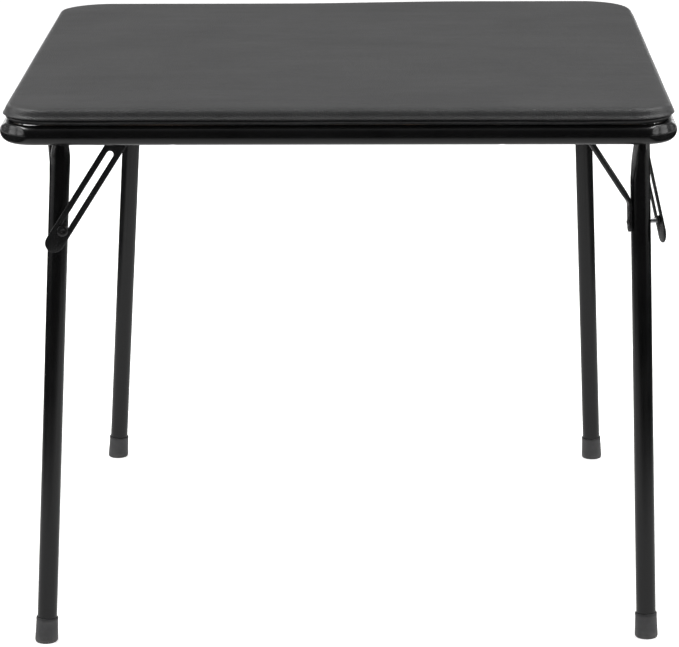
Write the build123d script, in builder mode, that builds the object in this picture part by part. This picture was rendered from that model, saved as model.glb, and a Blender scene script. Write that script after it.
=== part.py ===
from build123d import *
import os
from math import sin, cos, atan2, radians, degrees, sqrt

os.makedirs("parts", exist_ok=True)

# ---------------------------------------------------------------------------
# Square folding card table, standing on its four feet with the legs locked out.
# Millimetres.  Origin on the floor under the middle of the top, +Z up,
# +X to the sitter's right, the front edge at -Y.
# ---------------------------------------------------------------------------

# overall
table_width = 851.0            # over the steel rail, both ways
table_height = 705.0           # floor to the top of the padded cover

# steel rail: one bent ring of round tube
rail_r = 12.0
rail_wall = 1.2
rail_bend_r = 36.0             # centreline radius of the corner bends
rail_z = 670.5                 # height of the tube's centreline
rail_half = table_width / 2 - rail_r

# padded top
cover_half = 420.5             # outer half width of the vinyl cover
cover_corner_r = 54.0
cover_t = 0.9
cover_roll_r = 5.0             # rounding of the padded top edge
hem_z = 682.5                  # underside of the hem, resting on the rail
board_z = 683.4                # underside of the board
board_t = 9.5
board_half = 415.5             # the foam stands out over the board's edge
board_corner_r = 50.0
foam_half = 419.4
foam_corner_r = 53.0
foam_top_z = 704.0
hem_width = 16.5

# legs
leg_r = 12.7
leg_wall = 1.2
pivot_z = 662.0
pivot_rod_r = 4.0
running_gap = 0.06             # radial clearance of every turning hole
leg_crown_r = 12.5             # rounded top end of the pressed tube
stud_drop = 115.4              # along the leg, pivot to cross stud

# slotted stay
stay_reach = 72.0              # leg pivot to stay pivot, along the fold
stay_side = 25.2               # middle of the stay plate, outboard of the leg axis
stay_t = 2.0
stay_half_w = 12.3
slot_half_w = 4.75
slot_start = 26.6              # stay pivot to the upper end of the slot
stay_tail = 18.3               # stud to the middle of the round tail

# side brace (round rod with flattened ends)
brace_side = 72.0              # inboard of the leg axis at the top
brace_r = 3.9
brace_knee = 86.0              # along the leg, where the rod meets the leg
brace_toe = 127.8
brace_toe_t = 4.2              # the toe is the rod pressed flat

# foot cap
cap_r_top = 14.0
cap_r_foot = 14.6
cap_h = 33.0
cap_floor = 4.0

# sheet bracket
plate_t = 2.1
plate_top_z = board_z          # the bracket's base lies flat on the board

# each corner: pivot position, direction of the fold, and the two leans of the
# standing leg (away from its fold, and sideways)
corners = {
    "front_left": (-348.8, -383.0, 17.0, 3.40, 1.40),
    "front_right": (380.6, -352.0, 107.0, 3.68, 0.50),
    "back_right": (347.2, 374.8, 197.0, 2.98, 1.80),
    "back_left": (-311.4, 374.0, 270.0, 3.20, 3.65),
}


def swing_plane(px, py, turn, side):
    """Plane at the leg pivot: x along the fold, y inboard along the pivot axis."""
    t, s = radians(turn), radians(side)
    fold = Vector(cos(t), sin(t), 0)
    inboard = Vector(-sin(t), cos(t), 0)
    up = inboard * sin(s) + Vector(0, 0, cos(s))
    return Plane(origin=(px, py, pivot_z), x_dir=fold, z_dir=up)


def leg_plane(q, lean):
    """Plane at the leg pivot with z up along the standing leg."""
    b = radians(lean)
    return Plane(
        origin=q.origin,
        x_dir=q.x_dir * cos(b) - q.z_dir * sin(b),
        z_dir=q.x_dir * sin(b) + q.z_dir * cos(b),
    )


def across(q, x, y, z):
    """Plane at a point of plane q whose z runs inboard along the pivot axis."""
    return Plane(origin=q.from_local_coords((x, y, z)), x_dir=q.x_dir, z_dir=q.y_dir)


def stud_plane(lg, y):
    """Plane on the cross stud's axis, y inboard of the leg axis."""
    return Plane(
        origin=lg.from_local_coords((0, y, -stud_drop)), x_dir=lg.x_dir, z_dir=lg.y_dir
    )


# the leg's section going down from the pivot: half width along the fold, and
# the reach of its inboard and outboard sides.  The round tube is pressed from
# the inboard side at the top
crush = [
    (-12.6, 9.8, 5.8, 12.6),
    (2.0, 9.8, 5.8, 12.6),
    (15.0, 11.4, 6.3, 12.85),
    (24.0, 12.7, 7.6, 12.9),
    (33.0, 12.9, 9.0, 12.8),
    (44.0, 12.85, 10.6, 12.7),
    (56.0, 12.7, 12.2, 12.7),
    (66.0, 12.7, 12.7, 12.7),
]

# ---------------------------------------------------------------------------
# Padded top
# ---------------------------------------------------------------------------
rail_screw_xy = [(x, s * rail_half) for s in (-1, 1) for x in (-205.0, 205.0)] + [
    (s * rail_half, y) for s in (-1, 1) for y in (-205.0, 205.0)
]
bracket_screw_local = [(0.0, 26.0), (0.0, 59.0), (40.0, -17.5), (76.0, -13.0)]


def level_plane(px, py, turn, z):
    t = radians(turn)
    return Plane(origin=(px, py, z), x_dir=(cos(t), sin(t), 0), z_dir=(0, 0, 1))


bracket_screw_xy = []
for px, py, turn, lean, side in corners.values():
    lp = level_plane(px, py, turn, plate_top_z)
    for sx, sy in bracket_screw_local:
        p = lp.from_local_coords((sx, sy, 0))
        bracket_screw_xy.append((p.X, p.Y))

staple_line = cover_half - 11.0
staple_pos = [i * 82.5 for i in range(-4, 5)]
staples_x = [(x, s * staple_line) for s in (-1, 1) for x in staple_pos]
staples_y = [(s * staple_line, y) for s in (-1, 1) for y in staple_pos]

with BuildPart() as top_board:
    with BuildSketch(Plane.XY.offset(board_z)):
        RectangleRounded(2 * board_half, 2 * board_half, board_corner_r)
    extrude(amount=board_t)
    with BuildSketch(Plane.XY.offset(board_z)):
        with Locations(*rail_screw_xy):
            Circle(1.75)
        with Locations(*bracket_screw_xy):
            Circle(2.0)
        with Locations(*staples_x):
            with GridLocations(10.0, 1.0, 2, 1):
                Rectangle(0.8, 0.5)
        with Locations(*staples_y):
            with GridLocations(1.0, 10.0, 1, 2):
                Rectangle(0.5, 0.8)
    extrude(amount=7.2, mode=Mode.SUBTRACT)
top_board.part.label = "top_board"

with BuildPart() as foam_pad:
    with BuildSketch(Plane.XY.offset(board_z + board_t)):
        RectangleRounded(2 * foam_half, 2 * foam_half, foam_corner_r)
    extrude(amount=foam_top_z - board_z - board_t)
    fillet(foam_pad.faces().sort_by(Axis.Z)[-1].edges(), radius=cover_roll_r - 1.0)
foam_pad.part.label = "foam_pad"

# the space inside the cover
with BuildPart() as hollow:
    with BuildSketch(Plane.XY.offset(board_z)):
        RectangleRounded(
            2 * (cover_half - cover_t), 2 * (cover_half - cover_t), cover_corner_r - cover_t
        )
    extrude(amount=table_height - cover_t - board_z)
    fillet(hollow.faces().sort_by(Axis.Z)[-1].edges(), radius=cover_roll_r - cover_t)

with BuildPart() as vinyl_cover:
    with BuildSketch(Plane.XY.offset(hem_z)):
        RectangleRounded(2 * cover_half, 2 * cover_half, cover_corner_r)
    extrude(amount=table_height - hem_z)
    fillet(vinyl_cover.faces().sort_by(Axis.Z)[-1].edges(), radius=cover_roll_r)
    add(hollow.part, mode=Mode.SUBTRACT)
    with BuildSketch(Plane.XY.offset(hem_z)):
        RectangleRounded(
            2 * (cover_half - hem_width),
            2 * (cover_half - hem_width),
            cover_corner_r - hem_width,
        )
        with Locations(*rail_screw_xy):
            Circle(1.75)
        with Locations(*staples_x):
            with GridLocations(10.0, 1.0, 2, 1):
                Rectangle(0.8, 0.5)
        with Locations(*staples_y):
            with GridLocations(1.0, 10.0, 1, 2):
                Rectangle(0.5, 0.8)
    extrude(amount=board_z - hem_z, mode=Mode.SUBTRACT)
vinyl_cover.part.label = "vinyl_cover"

# wire staples that hold the cover's hem to the board
with BuildPart() as cover_staples:
    with BuildSketch(Plane.XY.offset(hem_z)):
        with Locations(*staples_x):
            Rectangle(10.8, 0.5)
        with Locations(*staples_y):
            Rectangle(0.5, 10.8)
    extrude(amount=-0.45)
    with BuildSketch(Plane.XY.offset(hem_z)):
        with Locations(*staples_x):
            with GridLocations(10.0, 1.0, 2, 1):
                Rectangle(0.8, 0.5)
        with Locations(*staples_y):
            with GridLocations(1.0, 10.0, 1, 2):
                Rectangle(0.5, 0.8)
    extrude(amount=7.5)
cover_staples.part.label = "cover_staples"

# ---------------------------------------------------------------------------
# Rail: closed ring of tube, drilled for the screws that hold the board
# ---------------------------------------------------------------------------
h = rail_half
with BuildPart() as frame_rail:
    with BuildLine(Plane.XY.offset(rail_z)) as rail_path:
        k = h - rail_bend_r
        Line((0, -h), (k, -h))
        RadiusArc((k, -h), (h, -k), -rail_bend_r)
        Line((h, -k), (h, k))
        RadiusArc((h, k), (k, h), -rail_bend_r)
        Line((k, h), (-k, h))
        RadiusArc((-k, h), (-h, k), -rail_bend_r)
        Line((-h, k), (-h, -k))
        RadiusArc((-h, -k), (-k, -h), -rail_bend_r)
        Line((-k, -h), (0, -h))
    with BuildSketch(Plane(origin=(0, -h, rail_z), x_dir=(0, 1, 0), z_dir=(1, 0, 0))):
        Circle(rail_r)
        Circle(rail_r - rail_wall, mode=Mode.SUBTRACT)
    sweep()
    with BuildSketch(Plane.XY.offset(rail_z - rail_r - 1)):
        with Locations(*rail_screw_xy):
            Circle(2.3)
    extrude(amount=2 * rail_r + 2, mode=Mode.SUBTRACT)
    # wider holes below let the heads into the tube
    with BuildSketch(Plane.XY.offset(rail_z - rail_r - 1)):
        with Locations(*rail_screw_xy):
            Circle(5.2)
    extrude(amount=rail_r + 1, mode=Mode.SUBTRACT)
frame_rail.part.label = "frame_rail"

# pan-head screws up through the rail's upper wall into the board, their heads
# inside the tube
rail_seat = rail_z + sqrt((rail_r - rail_wall) ** 2 - 4.6 ** 2) - 0.03
with BuildPart() as rail_screws:
    with BuildSketch(Plane.XY.offset(rail_seat)):
        with Locations(*rail_screw_xy):
            Circle(4.6)
    extrude(amount=-2.6, taper=12)
    with BuildSketch(Plane.XY.offset(rail_seat)):
        with Locations(*rail_screw_xy):
            Circle(1.7)
    extrude(amount=board_z + 7.0 - rail_seat)
    with BuildSketch(Plane.XY.offset(rail_seat - 2.6)):
        with Locations(*rail_screw_xy):
            Rectangle(4.4, 0.9)
            Rectangle(0.9, 4.4)
    extrude(amount=1.2, mode=Mode.SUBTRACT)
rail_screws.part.label = "rail_screws"

# pan-head screws that hold the four leg brackets to the board
screw_seat = plate_top_z - plate_t
with BuildPart() as bracket_screws:
    with BuildSketch(Plane.XY.offset(screw_seat)):
        with Locations(*bracket_screw_xy):
            Circle(4.0)
    extrude(amount=-2.2, taper=14)
    with BuildSketch(Plane.XY.offset(screw_seat)):
        with Locations(*bracket_screw_xy):
            Circle(1.95)
    extrude(amount=plate_t + 7.0)
    with BuildSketch(Plane.XY.offset(screw_seat - 2.2)):
        with Locations(*bracket_screw_xy):
            Rectangle(3.8, 0.8)
            Rectangle(0.8, 3.8)
    extrude(amount=1.1, mode=Mode.SUBTRACT)
bracket_screws.part.label = "bracket_screws"

for part in (top_board, foam_pad, vinyl_cover, cover_staples, frame_rail,
             rail_screws, bracket_screws):
    export_step(part.part, "parts/" + part.part.label + ".step")

# ---------------------------------------------------------------------------
# The four folding legs
# ---------------------------------------------------------------------------
for name, (px, py, turn, lean, side) in corners.items():
    q = swing_plane(px, py, turn, side)
    lg = leg_plane(q, lean)
    b = radians(lean)
    length = pivot_z / (cos(b) * cos(radians(side)))      # pivot to floor
    stud_x, stud_z = -stud_drop * sin(b), -stud_drop * cos(b)
    stay_len = sqrt((stay_reach - stud_x) ** 2 + stud_z ** 2)
    stay_dir = q.x_dir * (stud_x - stay_reach) + q.z_dir * stud_z
    face_in, face_out = crush[0][2], crush[0][3]          # the two cheeks at the pivot

    # pressed-steel bracket: flat base on the board, four ears
    with BuildPart() as bracket:
        with BuildSketch(level_plane(px, py, turn, plate_top_z - plate_t)):
            Polygon(
                (-13, 82), (11, 82), (11, 22), (34, -5), (90, -5), (90, -27),
                (22, -27), (12, -17.2), (-13, -17.2),
                align=None,
            )
            with Locations(*bracket_screw_local):
                Circle(2.1, mode=Mode.SUBTRACT)
        extrude(amount=plate_t)
        # ears each side of the leg's flattened top
        for y0 in (-face_out - 1.6 - plate_t, face_in + 1.8):
            with BuildSketch(across(q, 0, y0, 0)):
                # sketch y runs downwards here
                Circle(9.0)
                with Locations((0, -14)):
                    Rectangle(18, 28)
            extrude(amount=plate_t)
        # ear of the stay
        with BuildSketch(across(q, stay_reach, -stay_side + stay_t / 2 + 0.5, 0)):
            Circle(10.5)
            with Locations((0, -14)):
                Rectangle(21, 28)
        extrude(amount=plate_t)
        # ear of the brace
        with BuildSketch(across(q, 0, brace_side + 3.2, 0)):
            Circle(8.5)
            with Locations((0, -14)):
                Rectangle(17, 28)
        extrude(amount=plate_t)
        # bores for the pivot rod and the stay rivet
        with BuildSketch(across(q, 0, -40, 0)):
            Circle(pivot_rod_r + running_gap)
        extrude(amount=140, mode=Mode.SUBTRACT)
        with BuildSketch(across(q, stay_reach, -stay_side - 4, 0)):
            Circle(3.0 + running_gap)
        extrude(amount=12, mode=Mode.SUBTRACT)
        split(bisect_by=Plane.XY.offset(plate_top_z), keep=Keep.BOTTOM)
    bracket.part.label = name + "_bracket"

    # rod that the leg and its brace turn on, headed at both ends
    with BuildPart() as rod:
        head_y = face_out + 1.6 + plate_t + 0.4
        with BuildSketch(across(q, 0, -head_y, 0)):
            Circle(pivot_rod_r)
        extrude(amount=head_y + brace_side + 3.2 + plate_t + 0.6)
        with BuildSketch(across(q, 0, -head_y, 0)):
            Circle(6.4)
        extrude(amount=-2.2, taper=22)
        with BuildSketch(across(q, 0, brace_side + 3.2 + plate_t + 0.6, 0)):
            Circle(6.4)
        extrude(amount=2.4, taper=22)
    rod.part.label = name + "_pivot_rod"

    # rivet that the stay turns on
    with BuildPart() as rivet:
        with BuildSketch(across(q, stay_reach, -stay_side - stay_t / 2 - 0.4, 0)):
            Circle(3.0)
        extrude(amount=stay_t + 0.4 + 0.5 + plate_t + 0.4)
        with BuildSketch(across(q, stay_reach, -stay_side - stay_t / 2 - 0.4, 0)):
            Circle(6.5)
        extrude(amount=-2.4, taper=22)
        with BuildSketch(
            across(q, stay_reach, -stay_side + stay_t / 2 + 0.5 + plate_t + 0.4, 0)
        ):
            Circle(5.5)
        extrude(amount=2.0, taper=22)
    rivet.part.label = name + "_stay_rivet"

    # the space inside the leg tube
    with BuildPart() as bore:
        for s, a, c_in, c_out in crush:
            with BuildSketch(lg.offset(-s)):
                with Locations((0, 0.5 * (c_in - c_out))):
                    Ellipse(a - leg_wall, 0.5 * (c_in + c_out) - leg_wall)
        loft()
        with BuildSketch(lg.offset(-crush[-1][0])):
            Circle(leg_r - leg_wall)
        extrude(amount=-(length - cap_floor - crush[-1][0]))

    # leg: round tube, its top pressed flat and rounded off
    with BuildPart() as leg:
        for s, a, c_in, c_out in crush:
            with BuildSketch(lg.offset(-s)):
                with Locations((0, 0.5 * (c_in - c_out))):
                    Ellipse(a, 0.5 * (c_in + c_out))
        loft()
        with BuildSketch(lg.offset(-crush[-1][0])):
            Circle(leg_r)
        extrude(amount=-(length - cap_floor - crush[-1][0]))
        add(bore.part, mode=Mode.SUBTRACT)
        with BuildSketch(
            Plane(origin=lg.from_local_coords((0, -30, 0)), x_dir=lg.x_dir, z_dir=lg.y_dir)
        ):
            Circle(leg_crown_r)
            with Locations((0, 400)):
                Rectangle(60, 800)
        extrude(amount=60, mode=Mode.INTERSECT)
        with BuildSketch(
            Plane(origin=lg.from_local_coords((0, -30, 0)), x_dir=lg.x_dir, z_dir=lg.y_dir)
        ):
            Circle(pivot_rod_r + running_gap)
            with Locations((0, stud_drop)):
                Circle(3.4)
        extrude(amount=60, mode=Mode.SUBTRACT)
    leg.part.label = name + "_leg"

    # moulded rubber cap over the foot, its sole flat on the floor
    with BuildPart() as cap:
        with BuildSketch(lg.offset(-length + cap_h)):
            Circle(cap_r_top)
        with BuildSketch(lg.offset(-length + 7)):
            Circle(cap_r_foot)
        loft()
        with BuildSketch(lg.offset(-length + 7)):
            Circle(cap_r_foot)
        extrude(amount=-9)
        with BuildSketch(lg.offset(-length + cap_floor)):
            Circle(leg_r + 0.05)
        extrude(amount=cap_h, mode=Mode.SUBTRACT)
        split(bisect_by=Plane.XY, keep=Keep.TOP)
    cap.part.label = name + "_foot_cap"

    # side brace: round rod, flattened eye on the pivot rod, flattened toe
    # riveted to the inboard side of the leg
    toe_y = leg_r + 0.2
    eye_drop = brace_r + 4.5
    knee = lg.from_local_coords((0, toe_y + brace_r, -brace_knee))
    eye = lg.from_local_coords((0, brace_side, 0))
    along = (eye - knee).normalized()
    reach = (eye - knee).length
    with BuildPart() as brace:
        with BuildSketch(Plane(origin=knee, x_dir=lg.x_dir, z_dir=along)):
            Circle(brace_r)
        extrude(amount=reach - 6.5)
        with BuildSketch(Plane(origin=knee, x_dir=lg.x_dir, z_dir=lg.z_dir)):
            Circle(brace_r)
        extrude(amount=-12)
        with Locations(knee):
            Sphere(brace_r)
        # eye
        with BuildSketch(across(q, 0, brace_side - 2.0, 0)):
            Circle(9.0)
        extrude(amount=4.0)
        with BuildSketch(across(q, 0, brace_side - 10, 0)):
            Circle(pivot_rod_r + running_gap)
        extrude(amount=20, mode=Mode.SUBTRACT)
        # toe
        with BuildSketch(
            Plane(origin=lg.from_local_coords((0, toe_y, 0)), x_dir=lg.x_dir, z_dir=lg.y_dir)
        ):
            with Locations((0, (brace_knee + 4 + brace_toe - 6) / 2)):
                Rectangle(11.5, brace_toe - brace_knee - 10)
            with Locations((0, brace_toe - 6)):
                Circle(5.75)
            with Locations((0, brace_knee + 4)):
                Circle(5.75)
            with Locations((0, stud_drop)):
                Circle(3.4, mode=Mode.SUBTRACT)
        extrude(amount=brace_toe_t)
    brace.part.label = name + "_side_brace"

    # cross stud: domed head inboard, shank through brace and leg, collar that
    # the stay bears on, and the outer head that keeps the stay on
    inner_face = stay_side - stay_t / 2 - 0.3
    outer_face = stay_side + stay_t / 2 + 0.3
    with BuildPart() as stud:
        with BuildSketch(stud_plane(lg, -inner_face)):
            Circle(3.3)
        extrude(amount=inner_face + toe_y + brace_toe_t + 0.1)
        with BuildSketch(stud_plane(lg, -inner_face)):
            Circle(5.9)
        extrude(amount=2.4)
        with BuildSketch(stud_plane(lg, toe_y + brace_toe_t + 0.1)):
            Circle(4.5)
        extrude(amount=1.1, taper=25)
        with BuildSketch(stud_plane(lg, -outer_face)):
            Circle(7.5)
        extrude(amount=-2.8, taper=20)
    stud.part.label = name + "_stay_stud"

    # slotted stay
    st = Plane(
        origin=q.from_local_coords((stay_reach, -stay_side - stay_t / 2, 0)),
        x_dir=stay_dir, z_dir=q.y_dir,
    )
    plate_len = stay_len + stay_tail
    slot_len = stay_len - slot_start
    with BuildPart() as stay:
        with BuildSketch(st):
            with Locations((plate_len / 2, 0)):
                SlotCenterToCenter(plate_len, 2 * stay_half_w)
            with Locations((slot_start + slot_len / 2, 0)):
                SlotCenterToCenter(slot_len, 2 * slot_half_w, mode=Mode.SUBTRACT)
            Circle(3.0 + running_gap, mode=Mode.SUBTRACT)
        extrude(amount=stay_t)
    stay.part.label = name + "_slotted_stay"

    for part in (bracket, rod, rivet, leg, cap, brace, stud, stay):
        export_step(part.part, "parts/" + part.part.label + ".step")
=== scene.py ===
from math import sin, cos, tan, pi, radians, sqrt, atan2, exp, floor

import bpy
import bmesh
from mathutils import Vector, Matrix, noise


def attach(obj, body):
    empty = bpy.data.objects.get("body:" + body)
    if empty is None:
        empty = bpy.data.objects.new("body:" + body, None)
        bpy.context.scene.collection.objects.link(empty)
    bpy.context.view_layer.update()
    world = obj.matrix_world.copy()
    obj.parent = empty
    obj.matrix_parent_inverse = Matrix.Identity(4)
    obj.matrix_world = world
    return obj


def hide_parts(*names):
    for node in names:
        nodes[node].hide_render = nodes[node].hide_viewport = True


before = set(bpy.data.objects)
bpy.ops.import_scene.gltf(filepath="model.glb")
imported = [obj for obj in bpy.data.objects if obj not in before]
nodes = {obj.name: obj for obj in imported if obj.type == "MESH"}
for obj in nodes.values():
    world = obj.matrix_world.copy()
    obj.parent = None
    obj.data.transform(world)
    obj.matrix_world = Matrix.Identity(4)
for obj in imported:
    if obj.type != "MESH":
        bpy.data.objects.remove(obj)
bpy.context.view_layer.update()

MM = 0.001
scene = bpy.context.scene

# ---------------------------------------------------------------------------
# sizes in millimetres, the same as the solids'
# ---------------------------------------------------------------------------
COVER_HALF, COVER_R = 423.0, 56.5      # over the bead of the padded edge
RAIL_HALF, RAIL_R, RAIL_BEND, RAIL_Z = 413.5, 12.0, 36.0, 670.5
PIVOT_Z, LEG_R = 662.0, 12.7
STUD_DROP = 115.4
STAY_REACH, STAY_SIDE, STAY_T, STAY_W = 72.0, 25.2, 2.0, 12.3
SLOT_W, SLOT_START, STAY_TAIL = 4.75, 26.6, 18.3
BRACE_SIDE, BRACE_R, KNEE, TOE = 72.0, 3.9, 86.0, 127.8
TOE_T = 4.2
FACE_IN, FACE_OUT = 6.4, 12.6      # the pressed leg's two cheeks at the pivot
TOE_Y = LEG_R + 0.2
CAP_H, CAP_FLOOR = 33.0, 4.0
PLATE_T = 2.1
CORNERS = {
    "front_left": (-348.8, -383.0, 17.0, 3.40, 1.40),
    "front_right": (380.6, -352.0, 107.0, 3.68, 0.50),
    "back_right": (347.2, 374.8, 197.0, 2.98, 1.80),
    "back_left": (-311.4, 374.0, 270.0, 3.20, 3.65),
}


# ---------------------------------------------------------------------------
# mesh helpers
# ---------------------------------------------------------------------------
def frames_of(px, py, turn, lean, side):
    """The fold frame and the leg frame at a pivot: origin and three axes."""
    t, s, b = radians(turn), radians(side), radians(lean)
    fold = Vector((cos(t), sin(t), 0))
    inboard = Vector((-sin(t), cos(t), 0))
    up = inboard * sin(s) + Vector((0, 0, cos(s)))
    across = up.cross(fold)
    o = Vector((px, py, PIVOT_Z))
    q = (o, fold, across, up)
    lg = (o, fold * cos(b) - up * sin(b), across, fold * sin(b) + up * cos(b))
    return q, lg


def at(f, x, y, z):
    """A point of frame f, millimetres in, metres out."""
    return (f[0] + f[1] * x + f[2] * y + f[3] * z) * MM


def smooth(t):
    t = min(1.0, max(0.0, t))
    return t * t * (3 - 2 * t)


def smin(a, b, k):
    """Smooth minimum, k wide."""
    h = max(k - abs(a - b), 0.0) / k
    return min(a, b) - h * h * k * 0.25


def table_of(pairs, x):
    """Smoothly interpolated value of a small table."""
    if x <= pairs[0][0]:
        return pairs[0][1]
    for (x0, y0), (x1, y1) in zip(pairs, pairs[1:]):
        if x <= x1:
            return y0 + (y1 - y0) * smooth((x - x0) / (x1 - x0))
    return pairs[-1][1]


def linear_of(pairs, x):
    if x <= pairs[0][0]:
        return pairs[0][1]
    for (x0, y0), (x1, y1) in zip(pairs, pairs[1:]):
        if x <= x1:
            return y0 + (y1 - y0) * (x - x0) / (x1 - x0)
    return pairs[-1][1]


def finish_mesh(name, bm, materials, sharp=38.0):
    """The object of a bmesh, smooth but for its sharp edges."""
    bmesh.ops.recalc_face_normals(bm, faces=bm.faces)
    me = bpy.data.meshes.new(name)
    bm.to_mesh(me)
    bm.free()
    for m in materials:
        me.materials.append(m)
    me.polygons.foreach_set("use_smooth", [True] * len(me.polygons))
    me.set_sharp_from_angle(angle=radians(sharp))
    me.update()
    ob = bpy.data.objects.new(name, me)
    scene.collection.objects.link(ob)
    return ob


def bridge(bm, a, b, mat=0, closed=True):
    n = len(a)
    out = []
    for i in range(n if closed else n - 1):
        j = (i + 1) % n
        f = bm.faces.new((a[i], a[j], b[j], b[i]))
        f.material_index = mat
        out.append(f)
    return out


def ring(bm, points):
    return [bm.verts.new(p) for p in points]


def add_rings(bm, rings, cap_first=True, cap_last=True, mat=0):
    """Skins a list of rings of points."""
    vs = [ring(bm, r) for r in rings]
    for a, b in zip(vs, vs[1:]):
        bridge(bm, a, b, mat)
    if cap_first:
        bm.faces.new(vs[0]).material_index = mat
    if cap_last:
        bm.faces.new(vs[-1]).material_index = mat
    return vs


def add_turned(bm, f, axis, across1, across2, centre, profile, n=40, mat=0):
    """A turned solid: profile is (radius, height along axis), millimetres."""
    rows = []
    for r, h in profile:
        c = centre + axis * h
        if r <= 1e-6:
            rows.append([bm.verts.new(c * MM)])
        else:
            rows.append(
                [
                    bm.verts.new(
                        (c + (across1 * cos(2 * pi * i / n) + across2 * sin(2 * pi * i / n)) * r) * MM
                    )
                    for i in range(n)
                ]
            )
    for a, b in zip(rows, rows[1:]):
        if len(a) == 1 and len(b) == 1:
            continue
        if len(a) == 1 or len(b) == 1:
            tip, rim = (a[0], b) if len(a) == 1 else (b[0], a)
            for i in range(n):
                bm.faces.new((tip, rim[i], rim[(i + 1) % n])).material_index = mat
        else:
            bridge(bm, a, b, mat)


def dome(base_r, base_h, crown_h, dimple_r=0.0, dimple_d=0.0, rim=0.6, steps=7):
    """Profile of a domed rivet head from its rim to its middle."""
    out = [(base_r - 0.35, base_h), (base_r, base_h + 0.3), (base_r, base_h + rim)]
    top = crown_h - rim
    inner = dimple_r + 0.7 if dimple_r else 0.0
    for i in range(1, steps + 1):
        a = i / steps * pi / 2
        r = inner + (base_r - inner) * cos(a)
        out.append((r, base_h + rim + top * sin(a)))
    if dimple_r:
        out += [
            (dimple_r + 0.25, base_h + crown_h - 0.12),
            (dimple_r, base_h + crown_h - dimple_d * 0.6),
            (dimple_r * 0.7, base_h + crown_h - dimple_d),
            (0.0, base_h + crown_h - dimple_d * 1.05),
        ]
    else:
        out[-1] = (0.0, out[-1][1])
    return out


def n3(x, y, z, seed=0.0):
    """Smooth noise, -1 to 1."""
    return noise.noise(Vector((x + seed * 17.3, y - seed * 9.1, z + seed * 4.7)))


# ---------------------------------------------------------------------------
# materials
# ---------------------------------------------------------------------------
def new_material(name):
    m = bpy.data.materials.new(name)
    m.use_nodes = True
    nt = m.node_tree
    nt.nodes.clear()
    out = nt.nodes.new("ShaderNodeOutputMaterial")
    bsdf = nt.nodes.new("ShaderNodeBsdfPrincipled")
    nt.links.new(bsdf.outputs[0], out.inputs[0])
    co = nt.nodes.new("ShaderNodeTexCoord")
    return m, nt, bsdf, co.outputs["Object"]


def tex_noise(nt, co, scale, detail=3.0, rough=0.5, stretch=None, distortion=0.0):
    n = nt.nodes.new("ShaderNodeTexNoise")
    n.inputs["Scale"].default_value = scale
    n.inputs["Detail"].default_value = detail
    n.inputs["Roughness"].default_value = rough
    n.inputs["Distortion"].default_value = distortion
    if stretch:
        mp = nt.nodes.new("ShaderNodeMapping")
        mp.inputs["Scale"].default_value = stretch
        nt.links.new(co, mp.inputs["Vector"])
        co = mp.outputs[0]
    nt.links.new(co, n.inputs["Vector"])
    return n.outputs["Fac"]


def tex_cells(nt, co, scale, feature="F1", smoothness=0.6, rnd=1.0):
    n = nt.nodes.new("ShaderNodeTexVoronoi")
    n.feature = feature
    n.inputs["Scale"].default_value = scale
    n.inputs["Randomness"].default_value = rnd
    if feature == "SMOOTH_F1":
        n.inputs["Smoothness"].default_value = smoothness
    nt.links.new(co, n.inputs["Vector"])
    return n.outputs["Distance"]


def remap(nt, value, a0, a1, b0, b1):
    n = nt.nodes.new("ShaderNodeMapRange")
    n.inputs["From Min"].default_value = a0
    n.inputs["From Max"].default_value = a1
    n.inputs["To Min"].default_value = b0
    n.inputs["To Max"].default_value = b1
    nt.links.new(value, n.inputs["Value"])
    return n.outputs[0]


def math(nt, op, a, b=None, clamp=False):
    n = nt.nodes.new("ShaderNodeMath")
    n.operation = op
    n.use_clamp = clamp
    for i, v in enumerate((a, b)):
        if v is None:
            continue
        if isinstance(v, (int, float)):
            n.inputs[i].default_value = v
        else:
            nt.links.new(v, n.inputs[i])
    return n.outputs[0]


def mix_colour(nt, fac, a, b):
    n = nt.nodes.new("ShaderNodeMix")
    n.data_type = "RGBA"
    if isinstance(fac, (int, float)):
        n.inputs["Factor"].default_value = fac
    else:
        nt.links.new(fac, n.inputs["Factor"])
    for key, v in ((6, a), (7, b)):
        if isinstance(v, tuple):
            n.inputs[key].default_value = (*v, 1.0)
        else:
            nt.links.new(v, n.inputs[key])
    return n.outputs[2]


def bump(nt, height, distance, strength=1.0, before=None):
    n = nt.nodes.new("ShaderNodeBump")
    n.inputs["Strength"].default_value = strength
    n.inputs["Distance"].default_value = distance
    nt.links.new(height, n.inputs["Height"])
    if before is not None:
        nt.links.new(before, n.inputs["Normal"])
    return n.outputs[0]


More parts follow.
